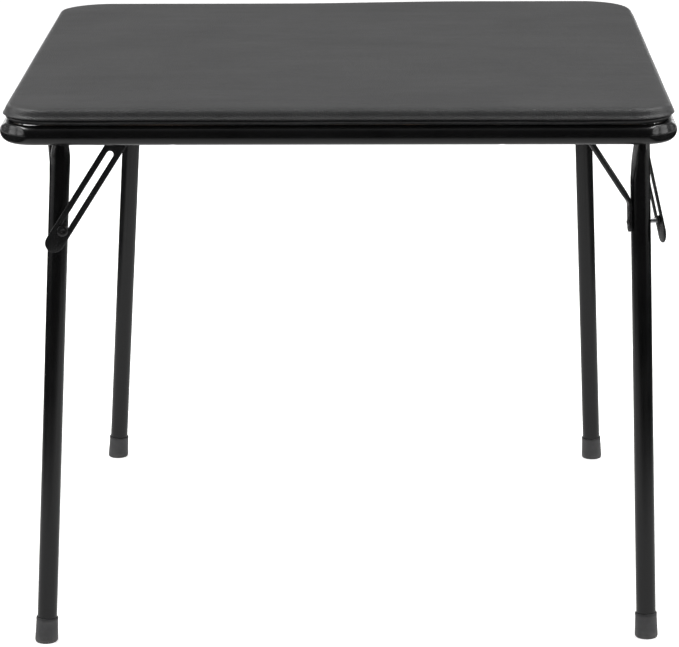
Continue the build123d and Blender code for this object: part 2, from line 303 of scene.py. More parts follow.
def vinyl_material():
    m, nt, b, co = new_material("vinyl_black_grained")
    cells = tex_cells(nt, co, 560.0, "SMOOTH_F1", 0.35)
    fine = tex_noise(nt, co, 1500.0, 3.0, 0.6)
    creases = tex_noise(nt, co, 150.0, 4.0, 0.55, distortion=0.6)
    clouds = tex_noise(nt, co, 7.0, 4.0, 0.55)
    patches = tex_noise(nt, co, 26.0, 5.0, 0.6, distortion=0.8)
    smears = tex_noise(nt, co, 9.0, 5.0, 0.6, stretch=(0.35, 1.6, 1.0))
    tone = math(nt, "ADD", math(nt, "MULTIPLY", clouds, 0.6), math(nt, "MULTIPLY", patches, 0.4))
    base = mix_colour(nt, remap(nt, tone, 0.35, 0.65, 0.0, 1.0), (0.025, 0.0253, 0.0258), (0.038, 0.0381, 0.0385))
    # painted shade: the grooves between the grain's pebbles are coloured darker
    groove_shade = remap(nt, cells, 0.0, 0.55, 0.0, 1.0)
    base = mix_colour(nt, math(nt, "MULTIPLY", groove_shade, 0.35), base, (0.014, 0.0142, 0.0146))
    nt.links.new(base, b.inputs["Base Color"])
    rough = math(
        nt, "ADD",
        remap(nt, smears, 0.3, 0.7, 0.38, 0.47),
        remap(nt, patches, 0.3, 0.7, -0.02, 0.03),
    )
    nt.links.new(rough, b.inputs["Roughness"])
    b.inputs["Specular IOR Level"].default_value = 0.42
    b.inputs["IOR"].default_value = 1.48
    grain = math(nt, "SUBTRACT", 1.0, cells)
    nrm = bump(nt, creases, 0.0009, 0.42)
    nrm = bump(nt, grain, 0.0006, 0.7, nrm)
    nrm = bump(nt, fine, 0.00006, 0.5, nrm)
    nt.links.new(nrm, b.inputs["Normal"])
    return m


def backing_material():
    m, nt, b, co = new_material("vinyl_cloth_backing")
    threads = tex_noise(nt, co, 900.0, 2.0, 0.6, stretch=(1.0, 3.0, 1.0))
    soil = tex_noise(nt, co, 40.0, 3.0, 0.6)
    base = mix_colour(nt, remap(nt, threads, 0.3, 0.7, 0, 1), (0.16, 0.16, 0.155), (0.34, 0.335, 0.32))
    base = mix_colour(nt, remap(nt, soil, 0.4, 0.8, 0, 0.5), base, (0.10, 0.10, 0.10))
    nt.links.new(base, b.inputs["Base Color"])
    nt.links.new(remap(nt, soil, 0.3, 0.7, 0.85, 0.95), b.inputs["Roughness"])
    nt.links.new(bump(nt, threads, 0.0004, 0.6), b.inputs["Normal"])
    return m


def paint_material(name, base_a, base_b, rough_a, rough_b, peel=0.000018, edge=0.35, spec=0.4):
    """Black stoved enamel on steel: orange peel, dust specks, and lighter, rougher edges that are partly rubbed wear
    and partly a painted highlight.
    """
    m, nt, b, co = new_material(name)
    orange = tex_noise(nt, co, 420.0, 2.0, 0.5)
    wavy = tex_noise(nt, co, 55.0, 2.0, 0.5)
    clouds = tex_noise(nt, co, 14.0, 4.0, 0.6)
    specks = tex_noise(nt, co, 1300.0, 2.0, 0.7)
    scuff = tex_noise(nt, co, 90.0, 6.0, 0.7, stretch=(1.0, 1.0, 0.35), distortion=1.2)
    geo = nt.nodes.new("ShaderNodeNewGeometry")
    edges = remap(nt, geo.outputs["Pointiness"], 0.53, 0.62, 0.0, 1.0)
    # lighter convex edges: partly rubbed wear, partly a painted highlight
    edge_wear_and_highlight = math(nt, "MULTIPLY", edges, remap(nt, scuff, 0.42, 0.62, 0.0, 1.0), True)
    base = mix_colour(nt, remap(nt, clouds, 0.3, 0.7, 0, 1), base_a, base_b)
    base = mix_colour(nt, math(nt, "MULTIPLY", edge_wear_and_highlight, edge), base, (0.09, 0.09, 0.095))
    dust = remap(nt, specks, 0.74, 0.8, 0.0, 0.10)
    base = mix_colour(nt, dust, base, (0.20, 0.20, 0.20))
    nt.links.new(base, b.inputs["Base Color"])
    rough = math(nt, "ADD", remap(nt, clouds, 0.3, 0.7, rough_a, rough_b), math(nt, "MULTIPLY", edge_wear_and_highlight, 0.12))
    rough = math(nt, "ADD", rough, remap(nt, scuff, 0.55, 0.75, 0.0, 0.07))
    nt.links.new(rough, b.inputs["Roughness"])
    b.inputs["Specular IOR Level"].default_value = spec
    b.inputs["IOR"].default_value = 1.5
    b.inputs["Coat Weight"].default_value = 0.0
    nrm = bump(nt, wavy, 0.0004, 0.06)
    nrm = bump(nt, orange, peel, 0.8, nrm)
    nt.links.new(nrm, b.inputs["Normal"])
    return m


def zinc_material(name="zinc_plate", bright=0.62, rough=0.26):
    m, nt, b, co = new_material(name)
    clouds = tex_noise(nt, co, 120.0, 4.0, 0.6)
    grit = tex_noise(nt, co, 1400.0, 2.0, 0.6)
    stain = tex_noise(nt, co, 300.0, 4.0, 0.7, distortion=1.0)
    base = mix_colour(nt, remap(nt, clouds, 0.3, 0.7, 0, 1), (bright, bright, bright * 1.01), (bright * 0.8, bright * 0.81, bright * 0.83))
    base = mix_colour(nt, remap(nt, stain, 0.58, 0.75, 0, 0.5), base, (0.20, 0.19, 0.18))
    nt.links.new(base, b.inputs["Base Color"])
    b.inputs["Metallic"].default_value = 1.0
    nt.links.new(remap(nt, clouds, 0.3, 0.7, rough, rough + 0.14), b.inputs["Roughness"])
    nt.links.new(bump(nt, grit, 0.00004, 0.7), b.inputs["Normal"])
    return m


def rubber_material():
    m, nt, b, co = new_material("foot_rubber_black")
    clouds = tex_noise(nt, co, 60.0, 4.0, 0.6)
    grit = tex_noise(nt, co, 1600.0, 3.0, 0.7)
    bloom = tex_noise(nt, co, 26.0, 5.0, 0.65, distortion=0.7)
    sep = nt.nodes.new("ShaderNodeSeparateXYZ")
    nt.links.new(co, sep.inputs[0])
    low = remap(nt, sep.outputs["Z"], 0.0, 0.012, 1.0, 0.0)
    base = mix_colour(nt, remap(nt, clouds, 0.3, 0.7, 0, 1), (0.021, 0.021, 0.022), (0.033, 0.033, 0.034))
    base = mix_colour(nt, math(nt, "MULTIPLY", remap(nt, bloom, 0.45, 0.75, 0, 0.35), 1.0), base, (0.06, 0.06, 0.062))
    base = mix_colour(nt, math(nt, "MULTIPLY", low, remap(nt, clouds, 0.4, 0.7, 0.0, 0.6), True), base, (0.085, 0.08, 0.075))
    nt.links.new(base, b.inputs["Base Color"])
    nt.links.new(remap(nt, bloom, 0.3, 0.7, 0.52, 0.68), b.inputs["Roughness"])
    b.inputs["Specular IOR Level"].default_value = 0.35
    nrm = bump(nt, clouds, 0.0004, 0.15)
    nrm = bump(nt, grit, 0.00007, 0.8, nrm)
    nt.links.new(nrm, b.inputs["Normal"])
    return m


def board_material():
    """Pressed fibre board, screen side down."""
    m, nt, b, co = new_material("pressed_fibre_board")
    fibres = tex_noise(nt, co, 260.0, 5.0, 0.7, stretch=(1.0, 0.45, 1.0), distortion=1.5)
    fibres2 = tex_noise(nt, co, 260.0, 5.0, 0.7, stretch=(0.45, 1.0, 1.0), distortion=1.5)
    flakes = tex_cells(nt, co, 330.0, "F1")
    clouds = tex_noise(nt, co, 9.0, 5.0, 0.6)
    both = math(nt, "MULTIPLY", math(nt, "ADD", fibres, fibres2), 0.5)
    base = mix_colour(nt, remap(nt, both, 0.35, 0.62, 0, 1), (0.085, 0.052, 0.031), (0.20, 0.128, 0.078))
    base = mix_colour(nt, remap(nt, clouds, 0.35, 0.7, 0, 0.5), base, (0.115, 0.073, 0.045))
    base = mix_colour(nt, remap(nt, flakes, 0.0, 0.22, 0.45, 0.0), base, (0.27, 0.19, 0.12))
    nt.links.new(base, b.inputs["Base Color"])
    nt.links.new(remap(nt, both, 0.3, 0.7, 0.66, 0.84), b.inputs["Roughness"])
    b.inputs["Specular IOR Level"].default_value = 0.3
    # the screen's small squares, pressed into the back
    sep = nt.nodes.new("ShaderNodeSeparateXYZ")
    nt.links.new(co, sep.inputs[0])
    lines = []
    for axis in ("X", "Y"):
        w = math(nt, "MULTIPLY", sep.outputs[axis], 2 * pi / 0.0021)
        lines.append(math(nt, "SINE", w))
    screen = math(nt, "ADD", lines[0], lines[1])
    nrm = bump(nt, both, 0.0007, 0.5)
    nrm = bump(nt, screen, 0.00008, 0.7, nrm)
    nt.links.new(nrm, b.inputs["Normal"])
    return m


VINYL = vinyl_material()
BACKING = backing_material()
TUBE = paint_material("tube_black_enamel", (0.0026, 0.0026, 0.0028), (0.0044, 0.0044, 0.0046), 0.15, 0.22)
STEEL = paint_material("hardware_black_enamel", (0.0062, 0.0062, 0.0065), (0.0098, 0.0098, 0.0101), 0.21, 0.30, peel=0.000026, edge=0.5)
SCREW = paint_material("screw_black_finish", (0.012, 0.012, 0.0125), (0.022, 0.022, 0.0225), 0.30, 0.42, peel=0.00002, edge=0.8, spec=0.5)
ZINC = zinc_material()
STAPLE = zinc_material("staple_wire", 0.55, 0.30)
RUBBER = rubber_material()
BOARD = board_material()


# ---------------------------------------------------------------------------
# camera
# ---------------------------------------------------------------------------
cam_data = bpy.data.cameras.new("camera")
cam_data.sensor_fit = "HORIZONTAL"
cam_data.sensor_width = 36.0
cam_data.lens = 3310.08 / 679.0 * 36.0
cam_data.clip_start, cam_data.clip_end = 0.1, 200.0
camera = bpy.data.objects.new("camera", cam_data)
scene.collection.objects.link(camera)
yaw, pitch, roll = radians(-0.927), radians(14.725), radians(-0.270)
ahead = Vector((sin(yaw) * cos(pitch), cos(yaw) * cos(pitch), -sin(pitch)))
right = Vector((cos(yaw), -sin(yaw), 0.0))
above = right.cross(ahead)
r_axis = right * cos(roll) + above * sin(roll)
u_axis = above * cos(roll) - right * sin(roll)
turned = Matrix((r_axis, u_axis, -ahead)).transposed().to_4x4()
camera.matrix_world = Matrix.Translation((0.06679, -4.46323, 1.49154)) @ turned
scene.camera = camera


# ---------------------------------------------------------------------------
# padded top: foam under stretched vinyl, with a wavy wrapped edge and a hem
# ---------------------------------------------------------------------------
GRID_N = 88                     # cells along a straight side
ARC_N = 22                      # cells round a corner
FLAT = COVER_HALF - COVER_R     # half length of a straight side

# inward offset and height of the outer skin, from the top down to the hem
SKIN = [
    (53.0, 704.9), (45.0, 704.86), (37.0, 704.8), (30.0, 704.7), (24.0, 704.62), (19.0, 704.48),
    (14.9, 704.28), (11.9, 703.98), (10.0, 703.6), (8.6, 703.1), (7.4, 702.45), (6.4, 701.7),
    (5.6, 700.85), (4.95, 699.95), (4.4, 698.95), (4.0, 697.9), (3.7, 696.9), (3.4, 695.9), (3.05, 695.05),
    (2.6, 694.35), (2.05, 693.65), (1.5, 693.0), (0.95, 692.4), (0.5, 691.8), (0.35, 691.3),
    (0.65, 690.8), (1.6, 690.5), (3.2, 690.25), (4.9, 689.95), (6.1, 689.5),
    (6.5, 689.0), (6.1, 688.55), (5.2, 688.15), (4.5, 687.65), (4.15, 687.05), (4.2, 686.4),
    (4.65, 685.75), (5.4, 685.1), (6.1, 684.5), (6.8, 683.95), (7.4, 683.4), (8.0, 683.0),
    (9.0, 682.72), (10.6, 682.58), (12.6, 682.56), (15.0, 682.57), (17.4, 682.6),
    (18.9, 682.62), (19.3, 682.75),
]
CUT = [(19.45, 682.95), (19.45, 683.3), (19.3, 683.5)]
INNER = [(19.6, 685.0), (21.4, 687.0)]


def loop_points(offset):
    """The rounded square that lies this far inside the cover's outline, as
    (x, y, outward x, outward y, arc length, corner share)."""
    r = COVER_R - offset
    pts = []
    for side in range(4):
        a0 = -pi / 2 + side * pi / 2
        ca, sa = cos(a0 + pi / 2), sin(a0 + pi / 2)     # along the side
        nx, ny = cos(a0), sin(a0)                       # outward
        for i in range(GRID_N):
            t = -FLAT + 2 * FLAT * i / GRID_N
            x = nx * (FLAT + r) + ca * t
            y = ny * (FLAT + r) + sa * t
            pts.append((x, y, nx, ny, side * 4 * FLAT + t, 0.0))
        cx, cy = nx * FLAT + ca * FLAT, ny * FLAT + sa * FLAT
        for i in range(ARC_N):
            a = a0 + pi / 2 * i / ARC_N
            pts.append((cx + r * cos(a), cy + r * sin(a), cos(a), sin(a), side * 4 * FLAT + FLAT + 107 * i / ARC_N, sin(pi * i / ARC_N)))
    return pts


def shaped(x, y, z, offset):
    """The cover sits a little lower and rounder at the back, where it is
    pulled tighter over the foam."""
    big = 76.0
    ax, c = abs(x), COVER_HALF - big
    k = smooth((z - 691.5) / 6.0) * smooth((48 - offset) / 30.0)
    if y > c and ax > c and k > 0:
        d = sqrt((ax - c) ** 2 + (y - c) ** 2)
        lim = big - offset
        if d > lim > 0:
            f = 1 + (lim / d - 1) * k
            x, y = (c + (ax - c) * f) * (1 if x > 0 else -1), c + (y - c) * f
    return x, y


def top_wave(x, y):
    """Slow unevenness of the padded top."""
    w = 0.42 * n3(x / 150.0, y / 150.0, 0.3, 1) + 0.22 * n3(x / 60.0, y / 60.0, 1.7, 2)
    w += 0.07 * n3(x / 22.0, y / 22.0, 4.1, 3)
    crown = 0.5 * (1 - (abs(x) / 424) ** 2.6) * (1 - (abs(y) / 424) ** 2.6)
    return w * 0.55 + crown - 0.2 - 2.6 * smooth((y - 310) / 105.0) * (1 - 1.35 * smooth((x + 150) / 330.0))


def edge_wave(x, y, nx, ny, z, corner):
    """Outward and upward shift of the side skin: staple pull, waves of the
    wrapped edge, and small gathers round the corners."""
    low = smooth((697.0 - z) / 9.0)
    bead = smooth((691.2 - z) / 2.5)
    side = smooth((704.0 - z) / 5.0)
    out = 0.28 * side * n3(x / 75.0, y / 75.0, 0.9, 4) + 0.16 * low * n3(x / 24.0, y / 24.0, z / 14.0, 5)
    up = bead * (0.8 * n3(x / 70.0, y / 70.0, 2.2, 6) + 0.26 * n3(x / 21.0, y / 21.0, 3.9, 7))
    if corner > 0:
        a = atan2(ny, nx)
        g = sin(a * 46.0 + 2.2 * n3(x / 30.0, y / 30.0, 0.0, 8))
        gather = smooth((694.5 - z) / 8.0) * corner
        out += 0.34 * gather * g
        up += 0.15 * gather * bead * sin(a * 30.0 + 1.0)
    under = smooth((683.6 - z) / 0.8)
    return out * (1 - 0.5 * under), up * (1 - under) + 0.10 * under * n3(x / 12.0, y / 12.0, 5.0, 9)


def build_pad():
    bm = bmesh.new()
    me_loops = []
    for offset, z in SKIN:
        row = []
        for x, y, nx, ny, s, corner in loop_points(offset):
            dz = top_wave(x, y) * smooth((z - 700.5) / 4.0) if z > 700.5 else 0.0
            out, up = edge_wave(x, y, nx, ny, z, corner) if z < 703.0 else (0.0, 0.0)
            x, y = shaped(x, y, z, offset)
            row.append(Vector((x + nx * out, y + ny * out, z + dz + up)))
        me_loops.append(row)
    rows = [ring(bm, [p * MM for p in row]) for row in me_loops]
    for a, b in zip(rows, rows[1:]):
        bridge(bm, a, b, 0)
    # cut edge of the vinyl, with its cloth backing, a little uneven
    last = rows[-1]
    for k, (offset, z) in enumerate(CUT):
        pts = []
        for x, y, nx, ny, s, corner in loop_points(offset):
            cut = 0.5 * n3(x / 35.0, y / 35.0, 7.0, 10) + 0.35 * n3(x / 9.0, y / 9.0, 7.0, 11)
            pts.append(Vector((x + nx * cut, y + ny * cut, z)) * MM)
        row = ring(bm, pts)
        bridge(bm, last, row, 1)
        last = row
    for offset, z in INNER:
        row = ring(bm, [Vector((p[0], p[1], z)) * MM for p in loop_points(offset)])
        bridge(bm, last, row, 1)
        last = row
    # hidden underside, inside the board
    for offset in (40.0,):
        row = ring(bm, [Vector((p[0], p[1], 687.0)) * MM for p in loop_points(offset)])
        bridge(bm, last, row, 1)
        last = row
    inside_cap(bm, last, 687.0, 1, False)
    # middle of the top
    inside_cap(bm, rows[0], 704.95, 0, True)
    return bm


def inside_cap(bm, rim, z, mat, waved):
    """Fills a rounded square with a square grid and four corner fans."""
    n = GRID_N
    per = GRID_N + ARC_N

    def vert(x, y):
        dz = top_wave(x, y) if waved else 0.0
        return bm.verts.new(Vector((x, y, z + dz)) * MM)

    grid = {}
    for i in range(n + 1):
        for j in range(n + 1):
            grid[i, j] = vert(-FLAT + 2 * FLAT * i / n, -FLAT + 2 * FLAT * j / n)
    for i in range(n):
        for j in range(n):
            bm.faces.new((grid[i, j], grid[i + 1, j], grid[i + 1, j + 1], grid[i, j + 1])).material_index = mat
    sides = [
        lambda i: grid[i, 0],
        lambda i: grid[n, i],
        lambda i: grid[n - i, n],
        lambda i: grid[0, n - i],
    ]
    m = len(rim)
    for s in range(4):
        for i in range(n):
            a, b = rim[s * per + i], rim[(s * per + i + 1) % m]
            bm.faces.new((a, b, sides[s](i + 1), sides[s](i))).material_index = mat
        hub = sides[s](n)
        for i in range(ARC_N):
            a, b = rim[(s * per + n + i) % m], rim[(s * per + n + i + 1) % m]
            bm.faces.new((a, b, hub)).material_index = mat


pad = finish_mesh("padded_top_cover", build_pad(), [VINYL, BACKING], sharp=60.0)
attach(pad, "tabletop")
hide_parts("vinyl_cover", "foam_pad")


# ---------------------------------------------------------------------------
# rail: one ring of tube, its four tight bends pressed flat on the outside
# ---------------------------------------------------------------------------
def build_rail():
    bm = bmesh.new()
    k = RAIL_HALF - RAIL_BEND
    sections = []
    for side in range(4):
        a0 = -pi / 2 + side * pi / 2
        ca, sa = cos(a0 + pi / 2), sin(a0 + pi / 2)
        nx, ny = cos(a0), sin(a0)
        for i in range(60):
            t = -k + 2 * k * i / 60
            sections.append((nx * RAIL_HALF + ca * t, ny * RAIL_HALF + sa * t, nx, ny, k - abs(t)))
        cx, cy = nx * k + ca * k, ny * k + sa * k
        for i in range(40):
            a = a0 + pi / 2 * i / 40
            half = 36.0 * pi / 4
            s = abs(i / 40 - 0.5) * 36.0 * pi / 2 - half
            sections.append((cx + RAIL_BEND * cos(a), cy + RAIL_BEND * sin(a), cos(a), sin(a), s))
    rows = []
    for x, y, nx, ny, s in sections:
        # s runs from minus 28 in the middle of a bend to 0 at its ends, and on
        press = smooth((-1.0 - s) / 19.0)
        pts = []
        for j in range(56):
            f = 2 * pi * j / 56
            out, up = RAIL_R * cos(f), (RAIL_R + 0.35) * sin(f) - 0.35
            # wall pressed in on the outside, swollen a little above and below
            limit = RAIL_R - 4.3 * press + 1.6 * (1 - press)
            lean = 0.26 * max(up, 0.0) + 0.03 * max(-up, 0.0)
            flat = smin(out, limit + press * (0.9 - lean), 1.6)
            if out > 0:
                dish = 0.12 * press * max(0.0, 1 - ((up - 4.0) / 2.6) ** 2)
                out_new = flat - dish
            else:
                out_new = out
            up_new = up * (1 + 0.035 * press * smooth((out + 4) / 12))
            # puckers on the inside of the bend
            if out < 0:
                out_new += 0.35 * press * sin(s * 0.9) * smooth((-out - 3) / 9)
            pts.append(Vector((x + nx * out_new, y + ny * out_new, RAIL_Z + up_new)) * MM)
        rows.append(ring(bm, pts))
    for i in range(len(rows)):
        bridge(bm, rows[i], rows[(i + 1) % len(rows)])
    return bm


def cut_holes(ob, centres, radius, z0, z1):
    """Cuts upright round holes in a closed mesh, for good."""
    bm = bmesh.new()
    for x, y in centres:
        rows = [
            [(x + radius * cos(2 * pi * i / 28), y + radius * sin(2 * pi * i / 28), z) for i in range(28)]
            for z in (z0, z1)
        ]
        add_rings(bm, [[Vector(c) * MM for c in r] for r in rows])
    cutter = finish_mesh("hole_cutter", bm, [TUBE])
    m = ob.modifiers.new("holes", "BOOLEAN")
    m.operation, m.solver, m.object = "DIFFERENCE", "EXACT", cutter
    deps = bpy.context.evaluated_depsgraph_get()
    me = bpy.data.meshes.new_from_object(ob.evaluated_get(deps))
    ob.modifiers.clear()
    ob.data = me
    old = cutter.data
    bpy.data.objects.remove(cutter)
    bpy.data.meshes.remove(old)


rail = finish_mesh("rail_tube", build_rail(), [TUBE], sharp=60.0)
RAIL_SCREWS = [(x, s * RAIL_HALF) for s in (-1, 1) for x in (-205.0, 205.0)]
RAIL_SCREWS += [(y, x) for x, y in RAIL_SCREWS]
cut_holes(rail, RAIL_SCREWS, 5.2, 655.0, 680.2)
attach(rail, "tabletop")
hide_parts("frame_rail")


# ---------------------------------------------------------------------------
# legs
# ---------------------------------------------------------------------------
REACH_IN = [(2, 4.9), (15, 5.3), (24, 6.7), (32.5, 8.3), (40, 9.7), (48, 11.0), (58, 12.4), (66, 12.7)]
REACH_OUT = [(2, 12.6), (10, 12.75), (17, 12.9), (26, 12.9), (36, 12.8), (48, 12.7), (66, 12.7)]
WIDE = [(2, 9.9), (8, 10.3), (15, 11.4), (24, 12.7), (33, 12.95), (44, 12.85), (56, 12.7)]


def leg_section(lg, s, width=None, n=72):
    """Ring of the leg tube, s below the pivot: a round tube pressed flatter
    from its inboard side, so that a soft crease runs down each edge."""
    y_in, y_out, a = linear_of(REACH_IN, s), linear_of(REACH_OUT, s), linear_of(WIDE, s)
    if width is not None:
        a = width
    e = 2.0 + 1.2 * smooth((56 - s) / 26)
    pts = []
    for j in range(n):
        f = 2 * pi * j / n
        c, t = cos(f), sin(f)
        if t > 0:
            x = a * (abs(c) ** (2 / e)) * (1 if c >= 0 else -1)
            y = y_in * t ** (2 / e)
        else:
            x, y = a * c, y_out * t
        pts.append(at(lg, x, y, -s))
    return pts


def build_leg(lg, length):
    bm = bmesh.new()
    rings = []
    for i in range(9):                     # the rounded crown
        a = radians(84 - i * (84 - 38) / 8)
        rings.append(leg_section(lg, -12.5 * sin(a), 12.5 * cos(a)))
    for s in [-5, -2, 0, 3, 6, 9, 12, 15, 18, 21, 24, 27, 30, 33, 36, 39, 42, 45, 48, 51, 54, 57, 60, 63, 66]:
        rings.append(leg_section(lg, s))
    s = 78.0
    while s < length - CAP_FLOOR - 10:
        rings.append(leg_section(lg, s))
        s += 24.0
    rings.append(leg_section(lg, length - CAP_FLOOR))
    add_rings(bm, rings)
    return bm


def build_cap(lg, length):
    """Moulded foot cap: rolled lip, slightly flared wall, rounded sole that
    is level on the floor, with a shallow ring round it."""
    o, ex, ey, ez = lg
    bm = bmesh.new()
    n = 56
    # height along the leg above the floor point, and radius
    outer = [
        (CAP_H - 2.2, 12.78), (CAP_H - 0.7, 12.85), (CAP_H - 0.1, 13.2), (CAP_H, 13.6),
        (CAP_H - 0.35, 14.0), (CAP_H - 1.1, 14.22), (CAP_H - 2.2, 14.3), (CAP_H - 3.6, 14.24),
        (CAP_H - 4.6, 14.15), (CAP_H - 8, 14.2), (22, 14.32), (16, 14.5), (11, 14.7), (8.4, 14.85),
    ]
    rings = []
    for h, r in outer:
        rings.append([at(lg, r * cos(2 * pi * i / n), r * sin(2 * pi * i / n), -length + h) for i in range(n)])
    # the sole is level, so its rings follow the floor
    foot = (o - ez * length)
    down = Vector((0, 0, -1))
    for h, r in ((5.6, 14.95), (3.6, 14.95), (2.2, 14.8), (1.1, 14.45), (0.4, 13.9), (0.05, 13.1), (0.0, 12.2), (0.0, 10.6), (0.8, 10.2), (0.8, 4.2), (0.0, 3.8), (0.0, 1.4)):
        pts = []
        for i in range(n):
            p = foot + (ex * cos(2 * pi * i / n) + ey * sin(2 * pi * i / n)) * r
            # slide along the leg to height h over the floor
            t = (h - p.z) / ez.z
            pts.append((p + ez * t) * MM)
        rings.append(pts)
    add_rings(bm, rings)
    return bm


def build_brace(lg):
    """Round rod with a flattened eye at the top and a flattened toe, bent to
    lie on the leg."""
    bm = bmesh.new()

    def cubic(p0, p1, p2, p3, steps):
        out = []
        for i in range(1, steps + 1):
            t = i / steps
            out.append(p0 * (1 - t) ** 3 + p1 * 3 * t * (1 - t) ** 2 + p2 * 3 * t * t * (1 - t) + p3 * t ** 3)
        return out

    line0 = Vector((BRACE_SIDE, 0.0))
    line1 = Vector((TOE_Y + BRACE_R, -KNEE))
    d = (line1 - line0).normalized()
    total = (line1 - line0).length
    top = Vector((BRACE_SIDE, 9.0))
    path = [top, Vector((BRACE_SIDE, 8.3)), Vector((BRACE_SIDE, 6.6)), Vector((BRACE_SIDE, 3.6)), Vector((BRACE_SIDE, 0.0)), Vector((BRACE_SIDE, -3.6))]
    a, b = Vector((BRACE_SIDE, -4.2)), line0 + d * 13.0
    path += [a] + cubic(a, a + Vector((0, -3.0)), b - d * 3.0, b, 6)
    path += [line0 + d * t for t in (20, 32, 46, 62, 78)]
    mid = TOE_Y + TOE_T / 2
    a, b = line0 + d * (total - 10.0), Vector((mid, -KNEE - 9.0))
    path += [a] + cubic(a, a + d * 7.0, b + Vector((0, 7.0)), b, 10)
    end = -TOE
    path += [Vector((mid, z)) for z in (-99.0, -104.0, -109.0, -113.0, -117.0, end + 5.75)]
    path += [Vector((mid, end + 5.75 * (1 - sin(x)))) for x in (0.35, 0.7, 1.0, 1.25, 1.45)]
    n = 36
    rings = []
    dist = 0.0
    for i, p in enumerate(path):
        nxt, prv = path[min(i + 1, len(path) - 1)], path[max(i - 1, 0)]
        tang = (nxt - prv).normalized()
        norm = Vector((-tang.y, tang.x))
        if i:
            dist += (p - path[i - 1]).length
        # half width along the fold, half thickness
        if p.y > -3.7 and p.x > BRACE_SIDE - 0.01:
            w, h, e = sqrt(max(0.3, 81.0 - p.y ** 2)), 2.0, 4.0
        else:
            u = smooth((dist - 12.0) / 9.0)
            w, h, e = 8.1 + (BRACE_R - 8.1) * u, 2.0 + (BRACE_R - 2.0) * u, 4.0 - 2.0 * u
        if p.y < -KNEE + 9:
            v = smooth((-KNEE + 9 - p.y) / 16.0)
            w, h, e = BRACE_R + (5.75 - BRACE_R) * v, BRACE_R + (TOE_T / 2 - BRACE_R) * v, 2.0 + 2.0 * v
        if p.y < end + 5.75 - 1e-6:
            w = sqrt(max(0.2, 5.75 ** 2 - (end + 5.75 - p.y) ** 2))
        pts = []
        for j in range(n):
            f = 2 * pi * j / n
            c, s = cos(f), sin(f)
            x = w * (abs(c) ** (2 / e)) * (1 if c >= 0 else -1)
            t = h * (abs(s) ** (2 / e)) * (1 if s >= 0 else -1)
            q2 = p + norm * t
            pts.append(at(lg, x, q2.x, q2.y))
        rings.append(pts)
    add_rings(bm, rings)
    return bm


def build_stud(lg):
    """Cross stud: dimpled outer head, neck in the slot, collar, bright shank,
    and the domed head on the brace's toe."""
    o, ex, ey, ez = lg
    bm = bmesh.new()
    c = o - ez * STUD_DROP
    inner = STAY_SIDE - STAY_T / 2 - 0.3
    outer = STAY_SIDE + STAY_T / 2 + 0.3
    # outer head, neck and collar in one turning, outboard is -ey
    head = [(r, outer + h) for r, h in dome(7.5, 0.0, 2.8, 2.6, 0.9)]
    head = head[::-1] + [(3.3, outer + 0.02), (3.3, inner)] + [(5.6, inner - 0.02), (5.9, inner - 0.3), (5.9, inner - 2.0), (5.5, inner - 2.4), (3.35, inner - 2.45)]
    add_turned(bm, lg, -ey, ex, ez, c, head, 44, 0)
    shank = [(3.35, -(inner - 2.45)), (3.3, -(inner - 3.0)), (3.3, -LEG_R - 0.2)]
    add_turned(bm, lg, ey, ex, ez, c, shank, 44, 1)
    add_turned(bm, lg, ey, ex, ez, c, [(3.3, -LEG_R - 0.2), (3.9, -LEG_R + 0.3), (3.9, -LEG_R + 3.0)], 44, 0)
    toe = TOE_Y + TOE_T
    rivet = [(3.3, toe - 3.0)] + dome(4.5, toe, 1.15, 1.6, 0.35, rim=0.3)
    add_turned(bm, lg, ey, ex, ez, c, rivet, 44, 0)
    return bm


def build_stay(q, lean):
    """Slotted stay stamped from strip, edges rolled over by the press."""
    o, ex, ey, ez = q
    b = radians(lean)
    stud_x, stud_z = -STUD_DROP * sin(b), -STUD_DROP * cos(b)
    along = (ex * (stud_x - STAY_REACH) + ez * stud_z)
    length = along.length
    along.normalize()
    wide = ey.cross(along)
    centre = o + ex * STAY_REACH
    plate = length + STAY_TAIL
    slot = length

    def stadium(x0, x1, r, k=18, m=26):
        pts = []
        for i in range(k):
            a = pi / 2 + pi * i / k
            pts.append((x0 + r * cos(a), r * sin(a)))
        for i in range(m):
            pts.append((x0 + (x1 - x0) * i / m, -r))
        for i in range(k):
            a = -pi / 2 + pi * i / k
            pts.append((x1 + r * cos(a), r * sin(a)))
        for i in range(m):
            pts.append((x1 + (x0 - x1) * i / m, r))
        return pts

    bm = bmesh.new()
    e = 0.75
    t = STAY_T / 2

    def lift(pts, y):
        return [(centre + along * p[0] + wide * p[1] + ey * (-STAY_SIDE + y)) * MM for p in pts]

    loops = []
    # round the outside edge, then across the face, round the slot and back
    for ang in (90, 67, 45, 22, 0, -22, -45, -67, -90):
        a = radians(ang)
        y = (t - e) * (1 if ang > 0 else -1 if ang < 0 else 0) + e * sin(a)
        loops.append(lift(stadium(0, plate, STAY_W - e + e * cos(a)), y))
    mid_r = (STAY_W + SLOT_W) / 2
    loops.append(lift(stadium(SLOT_START * 0.62, (plate + slot) / 2 - 2, mid_r - 0.4), -t))
    for ang in (-90, -67, -45, -22, 0, 22, 45, 67, 90):
        a = radians(ang)
        y = (t - e * 0.7) * (1 if ang > 0 else -1 if ang < 0 else 0) + e * 0.7 * sin(a)
        loops.append(lift(stadium(SLOT_START, slot, SLOT_W + e * 0.7 - e * 0.7 * cos(a)), y))
    loops.append(lift(stadium(SLOT_START * 0.62, (plate + slot) / 2 - 2, mid_r - 0.4), t))
    rows = [ring(bm, l) for l in loops]
    for i in range(len(rows)):
        bridge(bm, rows[i], rows[(i + 1) % len(rows)])
    return bm


